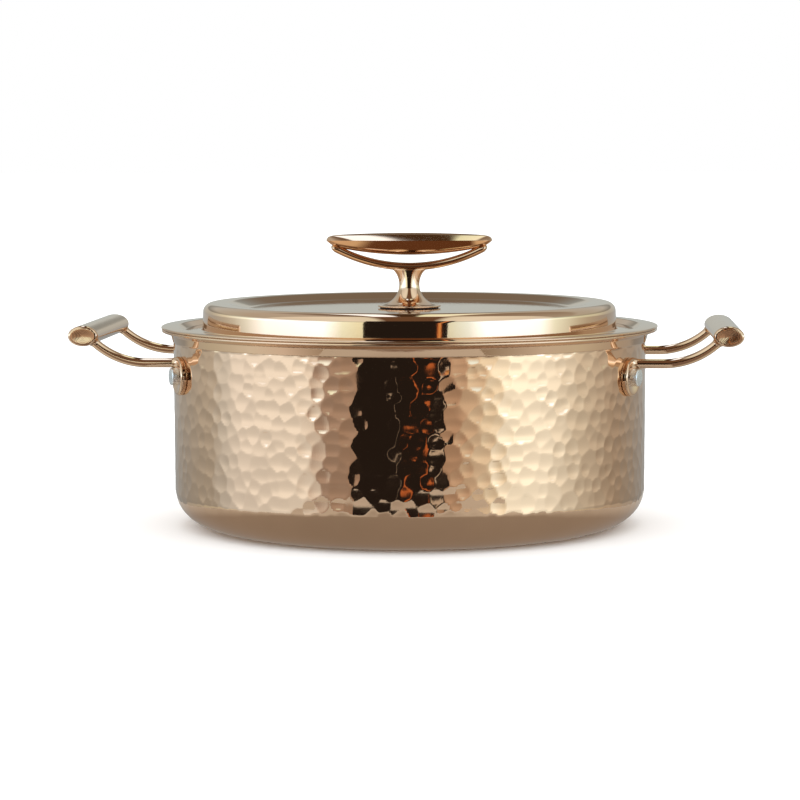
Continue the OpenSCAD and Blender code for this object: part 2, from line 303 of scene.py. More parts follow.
# %% [markdown]
# ## The camera card
# A black card hides the camera from the metal, as in any studio for shiny things. It stands between the
# camera and the kettle, and only reflections see it. Its sides lean a little. A few gaps and a warm
# lamp behind it show as strips, and some clutter hides parts of them, so the hammered wall breaks them
# up into loops and sparks.

# %% What shows on the card
DARK = (0.020, 0.016, 0.014)
EMBER = (0.58, 0.18, 0.06)
AMBER = (0.90, 0.50, 0.18)
CREAM = (0.62, 0.57, 0.50)
# (share of the way across the card, colour), low down and high up
LOW_STRIPS = [
    (0, *DARK), (0.447, *DARK), (0.451, *CREAM), (0.454, *CREAM), (0.458, *DARK), (0.60, *DARK),
    (0.61, *EMBER), (0.635, *EMBER), (0.645, *DARK), (0.765, *DARK), (0.775, *EMBER), (0.80, *EMBER),
    (0.81, *DARK), (0.90, *DARK), (0.91, *CREAM), (0.935, *CREAM), (0.945, *DARK), (1, *DARK)]
HIGH_STRIPS = [
    (0, *DARK), (0.868, *DARK), (0.878, *EMBER), (0.905, *AMBER), (0.92, *EMBER), (0.928, *DARK), (1, *DARK)]
print("stops across the card:", len(LOW_STRIPS), "low down,", len(HIGH_STRIPS), "high up")

# %% Camera card
CARD_Y = -0.56
CARD_LOW, CARD_HIGH = -0.15, 0.30
CARD_LEFT, CARD_LEFT_LEAN = -0.243, 0.058
CARD_RIGHT, CARD_RIGHT_LEAN = 0.147, 0.327
STRIPS_CHANGE = (0.06, 0.10)
CLUTTER_SCALE, CLUTTER_EDGE = 42.0, (0.50, 0.54)


def card_glow(tree):
    """Colour on the card: its share across is (x - left side) / width, both by the height there."""
    place = add(tree, "TexCoord").outputs["Object"]
    at = add(tree, "SeparateXYZ", {"Vector": place}).outputs
    left_side = maths(tree, "MULTIPLY_ADD", at["Z"], CARD_LEFT_LEAN, CARD_LEFT)
    width = maths(tree, "MULTIPLY_ADD", at["Z"], CARD_RIGHT_LEAN - CARD_LEFT_LEAN, CARD_RIGHT - CARD_LEFT)
    across = maths(tree, "DIVIDE", maths(tree, "SUBTRACT", at["X"], left_side), width)
    clutter = add(tree, "TexNoise", {"Vector": place, "Scale": CLUTTER_SCALE, "Detail": 1.0}).outputs[0]
    shown = share_of(tree, clutter, *CLUTTER_EDGE)
    low_glow = mixed(tree, shown, (*DARK, 1), ramp(tree, across, LOW_STRIPS))
    return mixed(tree, share_of(tree, at["Z"], *STRIPS_CHANGE), low_glow, ramp(tree, across, HIGH_STRIPS))


card_mesh = bpy.data.meshes.new("camera_card")
corners = [(side + lean * z, CARD_Y, z) for z in (CARD_LOW, CARD_HIGH)
           for side, lean in ((CARD_LEFT, CARD_LEFT_LEAN), (CARD_RIGHT, CARD_RIGHT_LEAN))]
card_mesh.from_pydata(corners, [], [(0, 1, 3, 2)])
strips = bpy.data.materials.new("camera_card")
strips.use_nodes = True
strips.node_tree.nodes.clear()
light = add(strips.node_tree, "Emission", {"Color": card_glow(strips.node_tree), "Strength": 1.0}).outputs[0]
add(strips.node_tree, "OutputMaterial", {"Surface": light})
card_mesh.materials.append(strips)
card = bpy.data.objects.new("camera_card", card_mesh)
card.matrix_world = Matrix.Rotation(CAMERA_ROUND, 4, "Z")
bpy.context.scene.collection.objects.link(card)
for kind in ("camera", "diffuse", "shadow", "transmission", "volume_scatter"):
    setattr(card, "visible_" + kind, False)
print(f"card {CARD_RIGHT - CARD_LEFT:.2f} m wide at the floor, {-CARD_Y:.2f} m in front of the kettle's axis")

# %% [markdown]
# ## Surfaces from arrays
# Nearly every part of a kettle is made by turning, pressing or bending, so nearly every surface is a
# grid of points: its columns go once round, and its rows follow an outline. The outline either closes
# on itself or starts and ends at a point on the middle line. One helper gives a grid its faces, one welds
# the points that fall together, and one measures the volume, which also tells inside from outside.

# %% Faces, welding and volume
def faces_of(rows, columns, closed):
    """Quads between neighbouring rows and columns of a grid. Columns wrap round; rows do if closed."""
    index = np.arange(rows * columns).reshape(rows, columns)
    if closed:
        index = np.vstack((index, index[:1]))
    after = np.roll(index, -1, axis=1)
    return np.stack((index[:-1], after[:-1], after[1:], index[1:]), -1).reshape(-1, 4)


def welded(points, faces, grid=1e-7):
    """Points closer than the grid become one, and faces that lost a corner become triangles."""
    cells = np.round(points / grid).astype(np.int64)
    _, first, place = np.unique(cells, axis=0, return_index=True, return_inverse=True)
    faces = place.reshape(-1)[faces]
    keep = faces != np.roll(faces, 1, axis=1)
    whole = keep.all(1)
    polygons = faces[whole].tolist()
    polygons += [f[k].tolist() for f, k in zip(faces[~whole], keep[~whole]) if k.sum() == 3]
    return points[first], polygons, first


def volume_of(points, polygons):
    """Volume inside a closed mesh: the sum of the wedges from the origin to each triangle."""
    fan = np.array([(p[0], p[i], p[i + 1]) for p in polygons for i in range(1, len(p) - 1)])
    a, b, c = points[fan[:, 0]], points[fan[:, 1]], points[fan[:, 2]]
    return float(np.einsum("ij,ij->i", a, np.cross(b, c)).sum() / 6)


print("faces of a closed grid of 4 rows and 6 columns:", len(faces_of(4, 6, True)))

# %% From points and faces to a piece
def make_piece(name, parts, material, body, node, normals=None, marks=None):
    """A smooth mesh object from closed parts of (points, faces), in millimetres, standing for a CAD node.
    marks gives each point of a single part a number that its material may read, and normals gives it a
    direction to shade with, or nought to leave it to the faces round it."""
    points, polygons, order = [], [], []
    for part_points, part_faces in parts:
        some, theirs, kept = welded(part_points, part_faces)
        order.append(kept)
        if volume_of(some, theirs) < 0:
            theirs = [p[::-1] for p in theirs]
        start = sum(len(p) for p in points)
        polygons += [[i + start for i in p] for p in theirs]
        points.append(some)
    points = np.concatenate(points) * MM
    mesh = bpy.data.meshes.new(name)
    mesh.from_pydata(points.tolist(), [], polygons)
    mesh.shade_smooth()
    mesh.materials.append(material)
    if normals is not None:
        mesh.normals_split_custom_set_from_vertices(normals.reshape(-1, 3)[order[0]].tolist())
    if marks is not None:
        attribute = mesh.attributes.new("mark", "FLOAT", "POINT")
        attribute.data.foreach_set("value", marks.reshape(-1)[order[0]].astype(np.float32))
    thing = bpy.data.objects.new(name, mesh)
    bpy.context.scene.collection.objects.link(thing)
    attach(thing, body)
    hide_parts(node)
    triangles = sum(len(p) - 2 for p in polygons)
    print(f"{name}: {triangles} triangles, {volume_of(points / MM, polygons) / 1000:.2f} cm3")
    return thing


# %% [markdown]
# Pressed and turned metal has no sharp corners. An outline is therefore given by its few corners, each
# with a radius, and a helper puts the arcs in. A Bevel modifier could do it too, but it would round all
# edges alike.

# %% Outlines with rounded corners
def unit(v):
    """The same direction with length one."""
    return v / np.linalg.norm(v, axis=-1, keepdims=True)


def rounded(corners, step=15.0, guard=0.25):
    """Outline through corners (across, up, radius). A corner with a radius becomes an arc that touches
    both of its sides: the arc starts at radius / tan(half angle) from the corner. Two guard points
    just outside the arc keep the shading of the flat sides flat."""
    corners = [np.array(c, float) for c in corners]
    outline = []
    for before, here, after in zip([None, *corners], corners, [*corners[1:], None]):
        if before is None or after is None or here[2] == 0:
            outline.append(here[None, :2])
            continue
        back, on = unit(before[:2] - here[:2]), unit(after[:2] - here[:2])
        half = math.acos(np.clip(back @ on, -1, 1)) / 2
        reach = here[2] / math.tan(half)
        centre = here[:2] + unit(back + on) * here[2] / math.sin(half)
        start, end = here[:2] + back * reach, here[:2] + on * reach
        sweep = math.pi - 2 * half
        t = np.linspace(0, sweep, max(2, math.ceil(math.degrees(sweep) / step)) + 1)[:, None]
        arc = centre + (np.sin(sweep - t) * (start - centre) + np.sin(t) * (end - centre)) / math.sin(sweep)
        outline += [(start + back * guard)[None], arc, (end + on * guard)[None]]
    return np.concatenate(outline)


print("a square corner with a 2 mm radius:", len(rounded([(0, 0, 0), (9, 0, 2), (9, 9, 0)])), "points")

# %% Sheets and turned shapes
def sheet_outline(path, thickness):
    """Closed outline of a sheet round its mid-line: the side to the right of the path, a half-round
    edge at its end, and the side to the left on the way back."""
    steps = unit(np.diff(path, axis=0))
    along = unit(np.vstack((steps[:1], steps[:-1] + steps[1:], steps[-1:])))
    right = np.stack((along[:, 1], -along[:, 0]), 1) * thickness / 2
    bend = np.linspace(-math.pi / 2, math.pi / 2, 9)[1:-1, None]
    edge = path[-1] + (np.cos(bend) * along[-1] - np.sin(bend) * unit(right[-1])) * thickness / 2
    return path + right, edge, (path - right)[::-1]


def turned(outline, columns):
    """Grid of the surface that an outline of (radius, height) sweeps round the kettle's axis."""
    angle = np.arange(columns) * 2 * math.pi / columns
    radius, height = outline[:, :1], outline[:, 1:]
    return np.stack((radius * np.cos(angle), radius * np.sin(angle), height + 0 * angle), -1)


def part_of(grid, closed=False):
    """Points and faces of a grid, ready for make_piece."""
    rows, columns = grid.shape[:2]
    return grid.reshape(-1, 3), faces_of(rows, columns, closed)


print("a ring of 8 columns:", turned(np.array([(5.0, 0.0), (6.0, 1.0)]), 8).shape)

# %% [markdown]
# ## The metals
# Rose gold here is a thin hard coat on polished steel. A mirror still has a history: faint clouds from
# wiping, hair-fine scratches that run in all directions, and a roughness that changes over a few
# centimetres. All of them are noise on object coordinates, so they stay on the part when the lid lifts.

# %% Polished and satin metal
ROSE = (0.80, 0.555, 0.375)
STEEL = (0.72, 0.73, 0.735)
BRIGHT = (0.86, 0.87, 0.87)
SCRATCH_SCALE, SCRATCH_STRETCH, SCRATCH_DEPTH = 420.0, 14, 0.004


def metal(name, colour, roughness, wear=0.03, cloud_size=0.05):
    """A metal whose colour drifts by the share wear and whose roughness drifts too, from 0.8 to 1.35
    times the given one, with clouds of the given size in metres and fine scratches as bump."""
    material = bpy.data.materials.new(name)
    material.use_nodes = True
    tree = material.node_tree
    shader = tree.nodes["Principled BSDF"]
    shader.inputs["Metallic"].default_value = 1.0
    place = add(tree, "TexCoord").outputs["Object"]
    cloudy = {"Vector": place, "Scale": 1 / cloud_size, "Detail": 4.0, "Roughness": 0.6}
    clouds = add(tree, "TexNoise", cloudy).outputs[0]
    low, high = (tuple(c * (1 + s * wear) for c in colour) for s in (-1, 1))
    tree.links.new(ramp(tree, clouds, [(0.3, *low), (0.7, *high)]), shader.inputs["Base Color"])
    smudges = add(tree, "TexNoise", {"Vector": place, "Scale": 3 / cloud_size, "Detail": 5.0}).outputs[0]
    rough = share_of(tree, smudges, 0.35, 0.7, roughness * 0.8, roughness * 1.35)
    tree.links.new(rough, shader.inputs["Roughness"])
    stretched = {"Vector": place, "Rotation": (0.4, 0.7, 0.2), "Scale": (1, SCRATCH_STRETCH, 1)}
    hair = add(tree, "Mapping", stretched).outputs[0]
    lines = add(tree, "TexNoise", {"Vector": hair, "Scale": SCRATCH_SCALE, "Detail": 2.0}).outputs[0]
    bump = add(tree, "Bump", {"Height": lines, "Strength": SCRATCH_DEPTH, "Distance": 0.001})
    tree.links.new(bump.outputs[0], shader.inputs["Normal"])
    return material


polished_rose = metal("polished_rose_gold", ROSE, 0.075)
cast_rose = metal("cast_rose_gold", ROSE, 0.06, wear=0.05, cloud_size=0.02)
bright_steel = metal("bright_steel", BRIGHT, 0.32, cloud_size=0.01)
print("metals:", [m.name for m in (polished_rose, cast_rose, bright_steel)])

# %% [markdown]
# ## The pot
# A pot like this is drawn from a disc of sheet, so it has one thickness everywhere and the simplest
# true description is a mid-line with a thickness. The wall is hammered: hundreds of round blows leave
# shallow dishes that meet in soft ridges. Bump mapping could fake them, but ridges of real geometry
# give true reflections and survive the export, so the wall's rows are a millimetre apart.

# %% The pot's sizes
RIM_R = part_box("pot_shell")[1].x / MM
RIM_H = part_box("pot_shell")[1].z / MM
BASE_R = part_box("base_plate")[1].x / MM
RECESS_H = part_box("base_core")[1].z / MM
LIP_REACH = 6.2
BODY_R = RIM_R - LIP_REACH
WALL_T = 1.6
TAPER = 0.5
CORNER_W, CORNER_H = 25.4, 20.9
HAMMER_LOW, HAMMER_HIGH = 17.3, 101.6
NECK_STEP, NECK_FLARE, NECK_TOP = 0.35, 1.5, 106.3
LIP_Z = 107.9
POT_COLUMNS, WALL_ROWS, CORNER_ROWS = 800, 78, 12
print(f"pot: {2 * BODY_R:.0f} mm across the wall, {2 * RIM_R:.0f} mm across the rim, {RIM_H:.0f} mm high")

# %% The pot's mid-line
MID_R = BODY_R - WALL_T / 2


def corner_curve(count):
    """Rounded bottom edge: a quarter of an ellipse from flat to upright, for the sheet's outside."""
    a = np.radians(np.linspace(-86, -8, count))
    return np.stack((BODY_R - TAPER - CORNER_W + CORNER_W * np.cos(a), CORNER_H + CORNER_H * np.sin(a)), 1)


floor_line = rounded([(0, RECESS_H + WALL_T / 2, 0), (BASE_R + 2.2, RECESS_H + WALL_T / 2, 2.5),
                      (BASE_R + 5.6, WALL_T / 2, 2.5), (BASE_R + 8, WALL_T / 2, 0)])
inwards = np.array((-WALL_T / 2, 0)) * np.linspace(0, 1, CORNER_ROWS)[:, None]
upwards = np.array((0, WALL_T / 2)) * np.linspace(1, 0, CORNER_ROWS)[:, None]
corner_line = corner_curve(CORNER_ROWS) + inwards + upwards
wall_z = np.linspace(HAMMER_LOW + 3, HAMMER_HIGH - 0.4, WALL_ROWS)
wall_line = np.stack((MID_R - TAPER * (1 - wall_z / HAMMER_HIGH), wall_z), 1)
neck_line = rounded([(MID_R, HAMMER_HIGH - 0.39, 0), (MID_R, HAMMER_HIGH, 0.25),
                     (MID_R + NECK_STEP, HAMMER_HIGH + 0.35, 0.25), (MID_R + NECK_FLARE, NECK_TOP, 1.6),
                     (RIM_R - WALL_T / 2 + 0.15, LIP_Z, 0)], guard=0.1)[1:]
pot_line = np.concatenate((floor_line, corner_line, wall_line, neck_line))
print("pot mid-line:", len(pot_line), "points")

# %% [markdown]
# Each blow is a small bowl: its height grows with the square of the distance from its middle. Where
# bowls overlap, the deepest one wins, and a soft minimum rounds the ridge between them. The blows sit
# on a staggered grid and are pushed about by a seeded random draw, as no hand hits a perfect pattern.

# %% Hammer blows
BLOWS_ROUND = 106
BLOW_ROWS = 12
BLOW_R = 5.2
BLOW_DEPTH = 0.155
RIDGE = 0.02

blow_pitch = 2 * math.pi * BODY_R / BLOWS_ROUND
blow_rise = (HAMMER_HIGH - HAMMER_LOW) / BLOW_ROWS
draw = np.random.default_rng(11)
blow_shift = draw.uniform(-0.36, 0.36, (2, BLOW_ROWS + 1, BLOWS_ROUND))
blow_size = draw.uniform(0.78, 1.22, (BLOW_ROWS + 1, BLOWS_ROUND))
blow_force = draw.uniform(0.6, 1.45, (BLOW_ROWS + 1, BLOWS_ROUND))


def hammered(turn_share, height):
    """Depth of the hammering, below zero. Bowl k is force * depth * ((distance / size)^2 - 1), and the
    result is the soft minimum -ridge * log(1 + sum of exp(-bowl / ridge)), lifted by half a dish."""
    u = turn_share * BLOWS_ROUND
    v = (height - HAMMER_LOW) / blow_rise
    total = np.ones_like(u * v)
    for row_step, column_step in itertools.product(range(-2, 3), range(-2, 3)):
        row = np.rint(v).astype(int) + row_step
        inside = (row >= 0) & (row <= BLOW_ROWS)
        row = np.clip(row, 0, BLOW_ROWS)
        column = np.rint(u - 0.5 * (row % 2)).astype(int) + column_step
        wrapped = column % BLOWS_ROUND
        across = (u - column - 0.5 * (row % 2) - blow_shift[0, row, wrapped]) * blow_pitch
        up = (v - row - blow_shift[1, row, wrapped]) * blow_rise
        size = BLOW_R * blow_size[row, wrapped]
        bowl = BLOW_DEPTH * blow_force[row, wrapped] * ((across**2 + up**2) / size**2 - 1)
        total += np.where(inside, np.exp(-bowl / RIDGE), 0)
    return -RIDGE * np.log(total) + BLOW_DEPTH / 2


def wall_depth(share, height):
    """The hammering, faded out at the neck and towards the rounded bottom edge."""
    below_neck = np.clip((HAMMER_HIGH - 0.2 - height) / 0.8, 0, 1)
    above_corner = np.clip((height - HAMMER_LOW + 9) / 6, 0, 1)
    return hammered(share, height) * below_neck * above_corner


print(f"blows: {blow_shift[0].size}, {blow_pitch:.1f} mm apart round and {blow_rise:.1f} mm apart in height")

# %% [markdown]
# The pot's grid has the whole outline as rows: up the outside, round the lip, and down the inside. Only
# the outside is hammered here, and the smooth inside gets along with every ninth row of the wall.

# %% The hammered grid
PLAIN_STEP = 9

outer_side, lip_edge, inner_side = sheet_outline(pot_line, WALL_T)
wall_start = len(floor_line) + len(corner_line)
wall_end = wall_start + len(wall_line)
outside_rows = len(outer_side) + len(lip_edge)
inner_wall = inner_side[-wall_end:-wall_start:PLAIN_STEP]
plain_side = np.concatenate((inner_side[:-wall_end], inner_wall, inner_side[-wall_start:]))
pot_grid = turned(np.concatenate((outer_side, lip_edge, plain_side)), POT_COLUMNS)
share = np.arange(POT_COLUMNS)[None, :] / POT_COLUMNS

wall_rows = slice(wall_start - CORNER_ROWS // 2, wall_end)
depth = wall_depth(share, pot_grid[wall_rows, :1, 2])
pot_grid[wall_rows, :, :2] *= 1 + depth[..., None] / BODY_R
print(f"hammering: {depth.min():.2f} to {depth.max():.2f} mm")

# %% [markdown]
# A mirror shows the smallest fault in its shading. Blender would guess the wall's normals from the
# faces, but the formula knows them: the slope of the depth round the wall and up the wall, each measured
# a tenth of a millimetre to either side, tilts the outward direction.

# %% True normals for the hammered wall
NUDGE = 0.1
turn_nudge = NUDGE / (2 * math.pi * BODY_R)
height = pot_grid[wall_start:wall_end, :1, 2]
turn_slope = (wall_depth(share + turn_nudge, height) - wall_depth(share - turn_nudge, height)) / (2 * NUDGE)
rise_slope = (wall_depth(share, height + NUDGE) - wall_depth(share, height - NUDGE)) / (2 * NUDGE)
rise_slope += TAPER / HAMMER_HIGH
angle = share * 2 * math.pi
pot_normals = np.zeros_like(pot_grid)
pot_normals[wall_start:wall_end] = unit(np.stack((
    np.cos(angle) + turn_slope * np.sin(angle), np.sin(angle) - turn_slope * np.cos(angle), -rise_slope), -1))
print(f"slopes mostly under {np.degrees(np.percentile(abs(turn_slope), 95)):.1f} degrees")

# %% [markdown]
# The plain parts of the pot need fewer points round than the hammered wall. Neighbouring columns simply
# share their points there, and welding turns the border between fine and coarse into small triangles.

# %% Fewer columns on the plain parts
def coarser(grid, rows, step):
    """Lets groups of neighbouring columns share one point in some rows of a grid."""
    grid[rows] = grid[rows][:, np.arange(grid.shape[1]) // step * step]


coarser(pot_grid, slice(0, wall_rows.start), 2)
coarser(pot_grid, slice(wall_rows.stop, outside_rows), 2)
coarser(pot_grid, slice(outside_rows, None), 4)
print(f"columns: {POT_COLUMNS} on the wall, {POT_COLUMNS // 2} outside, {POT_COLUMNS // 4} inside")

# %% [markdown]
# The coat is only on the show sides: inside, the pot is satin steel, as food is cooked against bare
# steel. Two pieces would leave a seam at the rim, so one piece carries a mark on every point, and its
# material turns from rose gold to steel by that mark.

# %% The pot's two finishes
SATIN = 0.20


def two_finish_metal(name, roughness, wear):
    """Rose gold where the mark is nought, and steel that is rougher by SATIN where it is one."""
    material = metal(name, ROSE, roughness, wear=wear)
    tree = material.node_tree
    shader = tree.nodes["Principled BSDF"]
    mark = add(tree, "Attribute", attribute_name="mark").outputs["Fac"]
    colour = shader.inputs["Base Color"].links[0].from_socket
    tree.links.new(mixed(tree, mark, colour, (*STEEL, 1)), shader.inputs["Base Color"])
    rough = shader.inputs["Roughness"].links[0].from_socket
    tree.links.new(maths(tree, "MULTIPLY_ADD", mark, SATIN, rough), shader.inputs["Roughness"])
    return material


pot_rose = two_finish_metal("hammered_rose_gold", 0.045, 0.04)
steel_inside = np.zeros(pot_grid.shape[:2])
steel_inside[outside_rows:] = 1
make_piece("pot", [part_of(pot_grid)], pot_rose, "pot", "pot_shell",
           normals=pot_normals, marks=steel_inside)

# %% [markdown]
# ## The base
# An aluminium core under the floor spreads the heat, and a thin steel plate covers it. The plate is
# ground on a turntable, which leaves fine rings. They catch the light as short arcs, so the rings are a
# wave in the distance from the middle, used as bump.

# %% Ground plate and core
RING_SCALE, RING_DEPTH = 160.0, 0.12


def ground_steel():
    """Steel with concentric grinding rings, from the distance to the kettle's axis."""
    material = metal("ground_base_steel", STEEL, 0.24, cloud_size=0.03)
    tree = material.node_tree
    place = add(tree, "TexCoord").outputs["Object"]
    ringed = {"Vector": place, "Scale": RING_SCALE, "Distortion": 1.5, "Detail": 2.0, "Detail Scale": 0.4}
    rings = add(tree, "TexWave", ringed, wave_type="RINGS", rings_direction="Z").outputs["Color"]
    bump = add(tree, "Bump", {"Height": rings, "Strength": RING_DEPTH, "Distance": 0.0003})
    tree.links.new(bump.outputs[0], tree.nodes["Principled BSDF"].inputs["Normal"])
    return material


base_steel = ground_steel()
base_aluminium = metal("core_aluminium", (0.66, 0.67, 0.69), 0.34, cloud_size=0.02)
plate_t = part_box("base_plate")[1].z / MM
plate_outline = rounded([
    (0, 0.15, 0), (30, 0.15, 8), (36, 0, 8), (BASE_R, 0, 0.3), (BASE_R, plate_t, 0.2), (0, plate_t, 0)])
core_outline = rounded([(0, plate_t, 0), (BASE_R, plate_t, 0.3), (BASE_R, RECESS_H, 1.2), (0, RECESS_H, 0)])
make_piece("base_plate_cover", [part_of(turned(plate_outline, 360))], base_steel,
           "pot", "base_plate")
make_piece("base_core_disc", [part_of(turned(core_outline, 240))], base_aluminium,
           "pot", "base_core")

# %% [markdown]
# ## The lid
# The lid is one pressing: a sunken middle, a raised top with a round shoulder, a short wall, a ledge
# and a small locating step that drops inside the pot's rim, and a flange that lies on the rim. It is
# again a mid-line with a thickness. Every bend is an arc, because a press cannot make a sharp one.

# %% Lid
LID_T = 1.2
FLANGE_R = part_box("lid_shell")[1].x / MM
LID_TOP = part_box("lid_shell")[1].z / MM
LID_WALL_R = BODY_R - 16.4
RECESS_TOP = LID_TOP - 3.2
FLANGE_Z = RIM_H - 0.1
LEDGE_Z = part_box("lid_shell")[0].z / MM + LID_T - 1.6
LID_DRAFT = 0.45
LID_COLUMNS = 480
half = LID_T / 2

lid_line = rounded([
    (0, RECESS_TOP - half, 0),
    (LID_WALL_R - 25, RECESS_TOP - half, 9),
    (LID_WALL_R - 13, LID_TOP - half, 9),
    (LID_WALL_R - half - 0.1, LID_TOP - half, 4.2),
    (LID_WALL_R - half + LID_DRAFT, LEDGE_Z - half, 1.5),
    (BODY_R - 6.0, LEDGE_Z - half, 1.3),
    (BODY_R - 2.6, FLANGE_Z - half, 1.1),
    (FLANGE_R - half, FLANGE_Z - half - 0.15, 0),
], step=10)
under_side, flange_edge, top_side = sheet_outline(lid_line, LID_T)
lid_under = np.repeat([1.0, 0.0], [len(under_side), len(flange_edge) + len(top_side)])
lid_grid = turned(np.concatenate((under_side, flange_edge, top_side)), LID_COLUMNS)
lid_rose = two_finish_metal("polished_rose_gold_lid", 0.045, 0.03)
make_piece("lid", [part_of(lid_grid)], lid_rose, "lid", "lid_shell",
           marks=np.repeat(lid_under[:, None], LID_COLUMNS, axis=1))

# %% [markdown]
# ## Rivets
# Each handle is held by two rivets with flat, softly rounded heads. A rivet is a turned shape round its
# own axis, so it is turned upright first and then laid over: its axis becomes the pot's outward
# direction at the place where it sits.

# %% A place on the wall
ROD_Y = 50.0
EYE_Z = (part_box("left_rivets")[0].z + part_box("left_rivets")[1].z) / 2 / MM
EYE_TURN = math.asin(ROD_Y / BODY_R)


def laid_over(points, side, end):
    """Points turned upright round Z, laid so that Z points out of the wall at one handle eye."""
    out = np.array((side * math.cos(EYE_TURN), end * math.sin(EYE_TURN), 0))
    along = np.array((-out[1], out[0], 0))
    up = np.array((0, 0, 1))
    return points[..., :1] * along + points[..., 1:2] * up + points[..., 2:] * out + EYE_Z * up


print(f"handle eyes: {EYE_Z:.1f} mm up, turned {math.degrees(EYE_TURN):.1f} degrees from the side")

# %% Rivets
RIVET_R, HEAD_R, BUTTON_R = 2.5, 4.7, 4.5
HEAD_LOW, HEAD_TOP = BODY_R + 2.2, BODY_R + 6.2
INNER_R = BODY_R - WALL_T

rivet_outline = rounded([
    (0, INNER_R - 2.0, 0), (BUTTON_R - 0.4, INNER_R - 1.6, 1.0), (BUTTON_R, INNER_R - 0.2, 0.2),
    (RIVET_R, INNER_R - 0.2, 0), (RIVET_R, HEAD_LOW, 0), (HEAD_R, HEAD_LOW, 0.25),
    (HEAD_R, HEAD_TOP - 0.1, 0.75), (0, HEAD_TOP, 0)], step=12, guard=0.1)
for side, name in ((-1, "left"), (1, "right")):
    pair = [laid_over(turned(rivet_outline, 72), side, end) for end in (-1, 1)]
    make_piece(name + "_rivet_pair", [part_of(g) for g in pair], bright_steel,
               "pot", name + "_rivets")

# %% [markdown]
# ## Hand grips
# The grips are lengths of oval tube with a cap pressed into each end. Tube and cap are both ovals
# carried along the grip, so one helper makes them: each row says how far the oval is inset, how much of
# it is left, and where it lies along the grip. The caps' faces keep the fine rings of the lathe.

# %% Ovals along a grip
grip_low, grip_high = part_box("right_grip")
GRIP_X = (grip_low.x + grip_high.x) / 2 / MM
GRIP_Z = (grip_low.z + grip_high.z) / 2 / MM
GRIP_W = (grip_high.x - grip_low.x) / MM
GRIP_T = (grip_high.z - grip_low.z) / MM
TUBE_END = grip_high.y / MM
CAP_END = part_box("right_grip_cap_back")[1].y / MM
TUBE_WALL = 1.2
CAP_ROUND = 1.5
OVAL_POINTS = 144


def oval_rows(rows, side, end):
    """Grid of ovals in the XZ plane. Each row is (inset, share of the oval left, distance along Y)."""
    inset, share_left, along = np.array(rows, float).T[..., None]
    angle = np.arange(OVAL_POINTS) * 2 * math.pi / OVAL_POINTS
    x = side * GRIP_X + (GRIP_W / 2 - inset) * share_left * np.cos(angle)
    z = GRIP_Z + (GRIP_T / 2 - inset) * share_left * np.sin(angle)
    return np.stack((x, end * along + 0 * x, z), -1)


PLUG = TUBE_WALL + 0.1
tube_half = [(0, 1, TUBE_END - 0.6), (0, 1, TUBE_END - 0.05), (0.05, 1, TUBE_END), (TUBE_WALL, 1, TUBE_END)]
tube_rows = [*[(i, s, -y) for i, s, y in tube_half[-2::-1]], (0, 1, 0), *tube_half, (TUBE_WALL, 1, -TUBE_END)]
quarter = np.radians(np.linspace(0, 90, 9))
cap_plug = [(PLUG, 0, TUBE_END - 4), (PLUG, 0.9, TUBE_END - 4),
            (PLUG, 1, TUBE_END - 3.5), (PLUG, 1, TUBE_END)]
cap_edge = [(CAP_ROUND * (1 - math.cos(a)), 1, CAP_END - CAP_ROUND * (1 - math.sin(a))) for a in quarter]
cap_face = [(CAP_ROUND, s, CAP_END - 0.25 * (1 - s * s) ** 2)
            for s in (0.97, 0.9, 0.8, 0.65, 0.5, 0.35, 0.2, 0.08, 0)]
cap_rows = [*cap_plug, (0.06, 1, TUBE_END), (0, 1, TUBE_END + 0.06), *cap_edge, *cap_face]
print(f"grip: {GRIP_W:.1f} by {GRIP_T:.1f} mm, {2 * CAP_END:.1f} mm long")

# %% Grips and their caps
FACING_SCALE, FACING_DEPTH = 420.0, 0.06


def turned_cap_metal(name, x, y):
    """Polished rose gold with the rings that facing the cap on a lathe leaves, centred on the cap."""
    material = metal(name, ROSE, 0.08, wear=0.06, cloud_size=0.02)
    tree = material.node_tree
    place = add(tree, "TexCoord").outputs["Object"]
    centred = add(tree, "Mapping", {"Vector": place, "Location": (-x * MM, -y * MM, -GRIP_Z * MM)}).outputs[0]
    ringed = {"Vector": centred, "Scale": FACING_SCALE, "Distortion": 0.6, "Detail": 1.0}
    rings = add(tree, "TexWave", ringed, wave_type="RINGS", rings_direction="Y").outputs["Color"]
    bump = add(tree, "Bump", {"Height": rings, "Strength": FACING_DEPTH, "Distance": 0.0003})
    tree.links.new(bump.outputs[0], tree.nodes["Principled BSDF"].inputs["Normal"])
    return material


for side, name in ((-1, "left"), (1, "right")):
    make_piece(name + "_hand_grip", [part_of(oval_rows(tube_rows, side, 1), closed=True)], polished_rose,
               "pot", name + "_grip")
    for end, place_name in ((-1, "front"), (1, "back")):
        cap_metal = turned_cap_metal(f"{name}_{place_name}_cap_rose_gold", side * GRIP_X, end * CAP_END)
        make_piece(f"{name}_end_cap_{place_name}", [part_of(oval_rows(cap_rows, side, end))], cap_metal,
                   "pot", f"{name}_grip_cap_{place_name}")

# %% [markdown]
# ## Handle rods
# Each rod is forged: a round bar whose end is spread into a dished eye for the rivet, and whose other
# end is brazed into the grip. A grid cannot follow such a branch, so these are made another way. A
# distance field says how far any point is from the metal, and fields of simple shapes are joined with a
# smooth minimum, which leaves a soft fillet like the forge does.

# %% Soft joins
def soft_min(a, b, width):
    """The smaller of two fields, rounded where they are within width of each other."""
    near = np.maximum(width - abs(a - b), 0) / width
    return np.minimum(a, b) - near * near * width / 4


def soft_max(a, b, width):
    """The larger of two fields, rounded in the same way."""
    return -soft_min(-a, -b, width)


print("soft minimum of 1 and 1 over a width of 2:", soft_min(np.float64(1), np.float64(1), 2))

